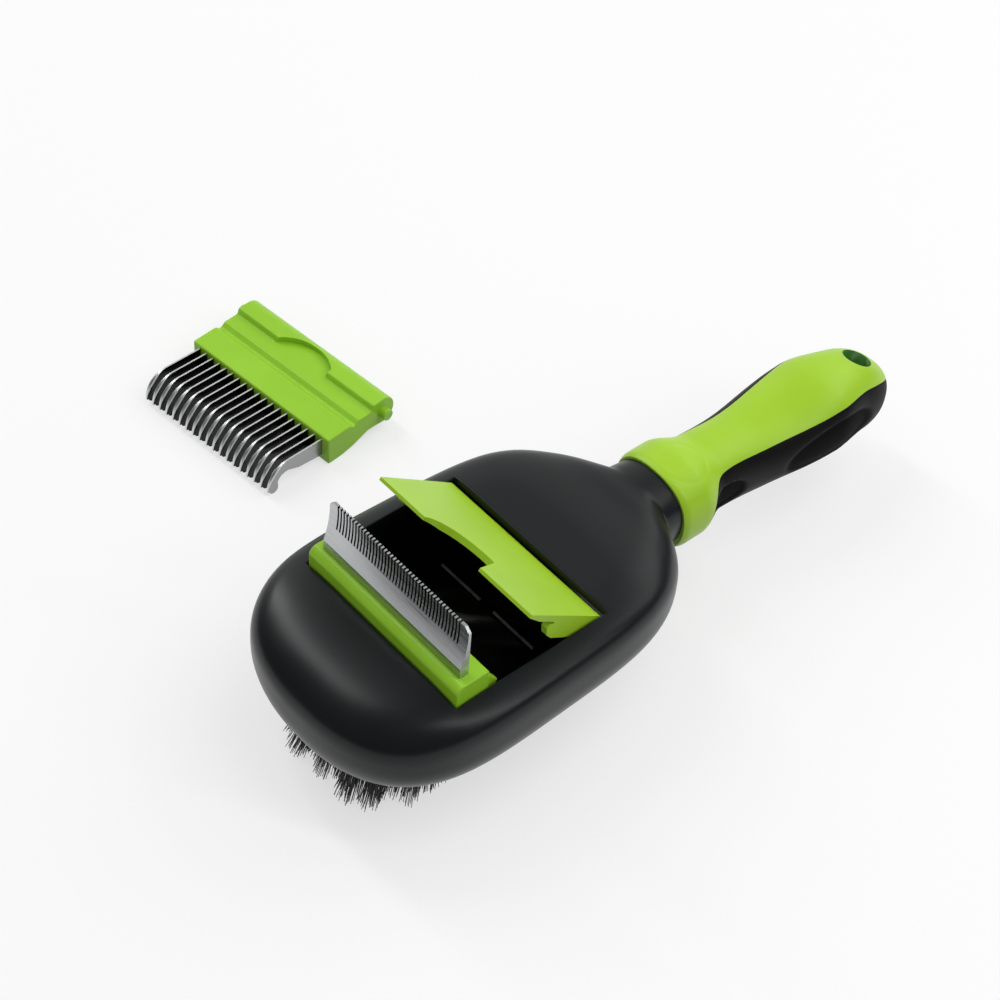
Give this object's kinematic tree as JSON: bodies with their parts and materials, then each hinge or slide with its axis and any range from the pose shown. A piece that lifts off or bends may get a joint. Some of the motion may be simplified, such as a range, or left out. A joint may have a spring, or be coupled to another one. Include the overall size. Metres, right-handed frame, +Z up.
{
  "type": "deshedding tool",
  "caption": "Pet grooming brush whose head hides a fold-away deshedding blade under a hinged flap, with a soft-grip handle and a loose hooked-blade rake cartridge beside it.",
  "frame": {"origin": "centre of the bristle field on the plane of the trimmed bristle tips, where the brush stands", "axes": "+X along the tool from the head towards the handle, +Y across the head towards the loose rake, +Z up"},
  "size_m": [0.2433, 0.2133, 0.0746],
  "materials": {
    "head_black": "satin moulded",
    "tray_black": "gloss moulded",
    "bristle_black": "nylon bristle",
    "green": "semi-gloss moulded",
    "grip_black": "soft overmould",
    "steel": "ground"
  },
  "bodies": {
    "brush": {"head_top_shell": "head_black", "head_base_shell": "head_black", "compartment_tray": "tray_black", "shell_screws": "steel", "bristle_plate": "head_black", "bristle_tufts": "bristle_black", "plate_screws": "steel", "neck_spigot": "head_black", "handle_core": "green", "handle_grip": "grip_black", "collar_screw": "steel"},
    "blade_cartridge": {"blade_carrier": "green", "deshedding_blade": "steel", "blade_pins": "steel"},
    "cover_flap": {"flap": "green", "flap_hinge_pins": "steel"},
    "rake": {"rake_body": "green", "rake_rod": "steel", "rake_blade_01": "steel", "rake_blade_02": "steel", "rake_blade_03": "steel", "rake_blade_04": "steel", "rake_blade_05": "steel", "rake_blade_06": "steel", "rake_blade_07": "steel", "rake_blade_08": "steel", "rake_blade_09": "steel", "rake_blade_10": "steel", "rake_blade_11": "steel", "rake_blade_12": "steel", "rake_blade_13": "steel", "rake_blade_14": "steel", "rake_blade_15": "steel", "rake_blade_16": "steel", "rake_blade_17": "steel", "rake_blade_18": "steel", "rake_blade_19": "steel"}
  },
  "joints": [
    {"name": "carrier_fold", "type": "hinge", "parent": "brush", "child": "blade_cartridge", "pos_m": [-0.0295, 0, 0.0436], "axis": [0, 1, 0], "range_deg": [0, 90]},
    {"name": "flap_hinge", "type": "hinge", "parent": "brush", "child": "cover_flap", "pos_m": [0.0167, 0, 0.0447], "axis": [0, 1, 0], "range_deg": [-36.3, 53.7]},
    {"name": "rake_lift", "type": "slide", "parent": "brush", "child": "rake", "axis": [0, 0, 1], "range_m": [0, 0.06]}
  ]
}
